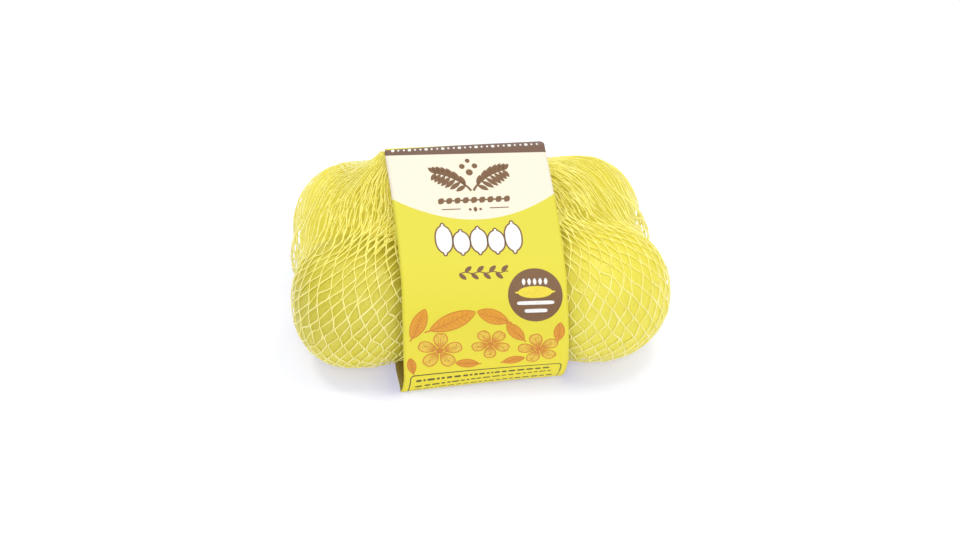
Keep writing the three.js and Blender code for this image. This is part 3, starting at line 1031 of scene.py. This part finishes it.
class Bag:
    """The bag's surface, with every place on it given as shares of the way round and up."""

    def __init__(self):
        self.grid = pulled_grid(STRAND / 2)
        # Shares of the way round are even along the bag's middle, and run faster under the sleeve.
        ring = self.grid[GRID_ROWS // 2]
        following = roll(ring, -1, 0)
        middle = (ring + following) / 2
        runs = norm(following - ring, axis=1)
        past_edge = np.abs(middle[:, 0] - SLEEVE_X) - WIDTH / 2
        open_mesh = smoothstep((past_edge + HIDDEN_WITHIN) / HIDDEN_WITHIN)
        runs *= HIDDEN_CELLS + (1 - HIDDEN_CELLS) * open_mesh
        self.round = join([[0], np.cumsum(runs)]) / runs.sum()

    def at(self, turn, climb):
        turn = np.interp(turn % 1, self.round, linspace(0, 1, AROUND + 1))
        level = clip(climb, 0, 1) * (GRID_ROWS - 1)
        row = minimum(level.astype(int), GRID_ROWS - 2)
        return between(self.on_row(row, turn), self.on_row(row + 1, turn), (level - row)[..., None])

    def on_row(self, row, turn):
        place = turn * AROUND - (row % 2) / 2
        column = np.floor(place).astype(int)
        near, far = (self.grid[row, each % AROUND] for each in (column, column + 1))
        return between(near, far, (place - column)[..., None])


CELLS = 76
ROWS = 41
QUARTER = 0.25  # of a cell: a strand swings this far to either side of its own line
JITTER = 0.06  # unevenness of the crossings, as a share of a cell
KISS = 0.31  # two strands lie this far to either side of the crossing that they share
ROUNDED = 0.7  # 0 leaves the cells pointed, 1 rounds them most
NEARBY = 0.4  # of a cell, over which the bag's slope is taken
STRAND_RADIUS = 0.33
FLATTEN = 0.72  # thickness over width
STRAND_STEPS = 6  # rings for each piece between two crossings
STRAND_SIDES = 5
OFF_PEEL, OFF_CARD = 0.85, 0.8  # how far a strand's middle stays off them, over its radius
# Each row stands this share of a cell on from the last, and more over the front left lemon.
ASKEW = 0.06
ASKEW_LEFT = 0.3
ASKEW_LEFT_AT = 0.6  # of the way round
ASKEW_LEFT_SPREAD = 0.24
# Over each back lemon the mesh is drawn back, at most by this share of the way round: where
# most and which way, how high up, and how much higher towards the sleeve.
DRAWN_BACK = 0.145
DRAWN_AT = ((0.54, -1), (0.96, 1))
DRAWN_SPREAD = 0.29
DRAWN_UP = 0.71  # shares of the way up
DRAWN_LATER = 1.56
DRAWN_OVER = 0.156
DRAWN_WITHIN = (0.56, 0.91)
# Where it is gathered the mesh lies in folds: each layer's first row, how far aside of the
# outermost its strands run, in cells, and how deep it lies.
LAYERS = ((0, 0.0, 0.0), (29, 0.37, 1.8), (30, -0.3, 4.0), (31, 0.15, 6.5))
FOLD_ROWS = 3  # a fold opens over this many rows
FOLD_CLEAR = (1.5, 7.0)  # and as the mesh leaves the fruit, from the first to the second
FOLDS_AROUND = 11
FOLD_DEEP, FOLD_VARIES = 0.6, 0.4  # of its depth
# A strand's unevenness in height, twist (radians) and thickness, and over how many rings each.
WANDER, TWIST, UNEVEN = (0.1, 5), (0.7, 7), (0.16, 3)
STRANDS_DIFFER = 0.08
THINNEST, THICKEST = 0.7, 1.35
CROSSING_SWELL = 0.25
NET_PIECES = 4
NET_SEED = 7


def askew(turn, climb):
    """How far round the mesh's own skew carries a place, `climb` in rows."""
    away = clip(np.abs(turn - ASKEW_LEFT_AT) / ASKEW_LEFT_SPREAD, 0, 1)
    each_row = ASKEW + ASKEW_LEFT * cos(away * pi / 2) ** 2
    return each_row * (climb - ROWS / 2) / CELLS


def drawn_back(turn, up):
    """How far round a place is drawn back over the back lemons."""
    moved = 0
    for centre, way in DRAWN_AT:
        aside = (turn - centre + 0.5) % 1 - 0.5
        most = cos(clip(aside / DRAWN_SPREAD, -1, 1) * pi / 2) ** 2
        height = clip(DRAWN_UP - way * DRAWN_LATER * aside, *DRAWN_WITHIN)
        moved = moved + way * DRAWN_BACK * most * smoothstep((up - height) / DRAWN_OVER + 0.5)
    return moved


def strand_lines(bag, rng, first_row, aside, depth):
    """Centre lines of one layer's zigzag strands and the way out from the bag along each."""
    last = ROWS - 1
    climb = first_row + arange((last - first_row) * STRAND_STEPS + 1) / STRAND_STEPS
    row = minimum(climb.astype(int), last - 1)
    share = climb - row
    eased = smoothstep(share)[:, None, None]
    swing = where(row % 2, 1 - share, share)
    swing = between(swing, smoothstep(swing), ROUNDED)[:, None]
    grown_in = smoothstep((climb - first_row) / FOLD_ROWS)[:, None]
    climb = climb[:, None]
    shake = rng.normal(0, JITTER, (ROWS, CELLS, 2))
    shake[[0, -1]] = 0
    strand = arange(CELLS)
    level = arange(ROWS)[:, None]
    lines = []
    for way in (1, -1):
        # The crossing that each strand passes in each row: odd rows stand half a cell on.
        passed = (strand - (level % 2 if way < 0 else 0)) % CELLS
        moved = shake[level, passed]
        moved = between(moved[row], moved[row + 1], eased)
        up = (climb + 2 * moved[..., 1]) / last
        middle = (strand + way * QUARTER + moved[..., 0]) / CELLS
        middle = middle + askew(middle % 1, climb)
        middle = middle + drawn_back(middle, climb / last)
        free = clearance(bag.at(middle, up).reshape(-1, 3)).reshape(up.shape)
        opened = grown_in * smoothstep((free - FOLD_CLEAR[0]) / (FOLD_CLEAR[1] - FOLD_CLEAR[0]))
        middle = middle + aside * opened / CELLS
        half = 0.5 / CELLS
        pitch = norm(bag.at(middle + half, up) - bag.at(middle - half, up), axis=-1)
        clear = minimum(KISS / maximum(pitch, TINY), QUARTER)
        swung = way * (clear + (0.5 - 2 * clear) * swing - QUARTER)
        lines.append((middle + swung / CELLS, up, opened))
    turn, up, opened = (join(each, 1).T for each in zip(*lines))
    points = bag.at(turn, up)
    beside, ahead = NEARBY / CELLS, NEARBY / last
    sideways = bag.at(turn + beside, up) - bag.at(turn - beside, up)
    upward = bag.at(turn, minimum(up + ahead, 1)) - bag.at(turn, maximum(up - ahead, 0))
    outward = unit(np.cross(sideways, upward))
    fold = FOLD_DEEP + FOLD_VARIES * sin(2 * pi * FOLDS_AROUND * turn + 5 * first_row)
    points = points - outward * (depth * fold * opened)[..., None]
    lobes = LEMON_LOBES if depth else LOBES
    flat = keep_outside(points.reshape(-1, 3), STRAND_RADIUS * OFF_PEEL, lobes)
    flat[:, 2] = maximum(flat[:, 2], lowest_at(flat[:, 0]) + STRAND_RADIUS * OFF_CARD)
    return flat.reshape(points.shape), outward


def smooth_noise(rng, strands, rings, size, every):
    """Seeded unevenness along each strand, about `size`, that changes over `every` rings."""
    knots = rng.normal(size=(strands, rings // every + 3))
    place = arange(rings) / every
    step = place.astype(int)
    return size * between(knots[:, step], knots[:, step + 1], smoothstep(place - step))


def strand_skins(lines, outward, rng):
    """A flattened, slightly uneven tube along each line."""
    strands, rings = lines.shape[:2]
    lines = lines + outward * smooth_noise(rng, strands, rings, *WANDER)[..., None]
    along = unit(np.gradient(lines, axis=1))
    across = unit(np.cross(along, outward))
    outward = np.cross(across, along)
    step = arange(rings) % STRAND_STEPS
    at_crossing = 1 - minimum(step, STRAND_STEPS - step) / (STRAND_STEPS / 2)
    swell = 1 + CROSSING_SWELL * at_crossing**2
    uneven = 1 + STRANDS_DIFFER * rng.normal(size=(strands, 1))
    uneven = uneven + smooth_noise(rng, strands, rings, *UNEVEN)
    radius = STRAND_RADIUS * swell[None, :] * clip(uneven, THINNEST, THICKEST)
    twist = smooth_noise(rng, strands, rings, *TWIST)[..., None]
    wide = (cos(twist) * across + sin(twist) * outward)[:, :, None]
    thin = (cos(twist) * outward - sin(twist) * across)[:, :, None]
    angle = loop(STRAND_SIDES)[:, None]
    section = cos(angle) * wide + FLATTEN * sin(angle) * thin
    return lines[:, :, None] + radius[:, :, None, None] * section


def strands_piece(name, skins, material):
    count, rings = skins.shape[:2]
    quads = grid_faces(rings, STRAND_SIDES)[:, ::-1]
    fan = arange(1, STRAND_SIDES - 1)
    foot = side_by(0, fan, fan + 1)
    crown = side_by(0, fan + 1, fan) + (rings - 1) * STRAND_SIDES
    triangles = join([halved(quads), foot, crown])
    joined = triangles[None] + rings * STRAND_SIDES * arange(count)[:, None, None]
    return mesh_piece(name, skins.reshape(-1, 3), joined.reshape(-1, 3), [material])


def add_net(material):
    rng = np.random.default_rng(NET_SEED)
    bag = Bag()
    pieces = []
    for number, (first_row, aside, depth) in enumerate(LAYERS):
        skins = strand_skins(*strand_lines(bag, rng, first_row, aside, depth), rng)
        if number:
            pieces.append(strands_piece(f"net_fold_{number}", skins, material))
            continue
        # Neighbouring strands go into the same piece, by their place round the bag.
        place = np.tile(arange(CELLS), 2)
        for part in range(NET_PIECES):
            chosen = place * NET_PIECES // CELLS == part
            pieces.append(strands_piece(f"net_strands_{part + 1}", skins[chosen], material))
    return pieces


# ---- what is built
stem = stem_button()
lemons = []
# Each lemon's peel is a copy with its own painted glow, painted light.
for name, fruit, slack, painted_glow in zip(LEMONS, LEMON_LOBES, SLACK, PAINTED_GLOW):
    peel = lemon_peel(name.replace("lemon", "peel"), *painted_glow)
    lemons.append(add_lemon(name, fruit, slack, [peel, stem], LEMON_SEED + len(lemons)))

for piece in lemons + add_net(net_plastic()):
    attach(piece, BODY)
    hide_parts("net_bag")

for piece in [add_sleeve()] + add_print():
    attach(piece, BODY)
    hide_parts("card_sleeve")


# ---- floor and light
FLOOR_Z = -0.1
FLOOR_HALF = 4000.0
FLOOR_PATCHES = ((0.86, 0.88, 0.72, 1), (0.87, 0.89, 0.73, 1))
FLOOR_GLOW = (0.214, 0.225, 0.65, 1.0)  # keeps the floor white where nothing shades it
FLOOR_GLOWS = 0.72
WORLD_STRENGTH = 0.92
DIM_TOWARDS = (-0.78, -0.6, -0.15)  # where the room is darker
DIM_BY = 0.7
LAMPS = (  # name, place and aim in metres, size and watts
    ("key", (-0.5, 0.05, 1.1), (0, 0, 0.03), 0.26, 2.0),
    ("side", (0.3, -0.15, 1.15), (0, 0, 0.03), 0.26, 1.6),
    ("front", (0.0, -0.9, 0.75), (0, 0, 0.04), 0.25, 1.6),
)


def add_floor():
    look = material("floor", 0.85, Specular_IOR_Level=0.0,
                    Emission_Color=FLOOR_GLOW, Emission_Strength=FLOOR_GLOWS)
    white = look.feed(Base_Color=look.mix(look.noise(0.004, 2), *FLOOR_PATCHES))
    half, z = FLOOR_HALF, FLOOR_Z
    corners = [(-half, -half, z), (half, -half, z), (half, half, z), (-half, half, z)]
    floor = mesh_piece("floor", corners, [[0, 1, 2, 3]], [white], smooth=False)


def add_lamp(name, at, aim, size, watts):
    data = bpy.data.lights.new(name, "AREA")
    data.shape = "DISK"
    data.size = size
    data.energy = watts
    turn = (Vector(aim) - Vector(at)).to_track_quat("-Z", "Y")
    add_object(name, data).matrix_world = Matrix.Translation(at) @ turn.to_matrix().to_4x4()


def add_world():
    """White all round, dimmer towards DIM_TOWARDS."""
    world = Nodes(bpy.data.worlds.new("studio"), "Background")
    direction = world.node("ShaderNodeTexCoord").outputs["Generated"]
    facing = world.node("ShaderNodeVectorMath", {0: direction, 1: DIM_TOWARDS}, operation="DOT_PRODUCT")
    level = world.spread(facing.outputs["Value"], 0.0, 1.0, 1.0, 1.0 - DIM_BY)
    bpy.context.scene.world = world.feed(Color=level, Strength=WORLD_STRENGTH)


add_floor()
add_world()
for lamp in LAMPS:
    add_lamp(*lamp)
bpy.context.scene.view_settings.view_transform = "Standard"
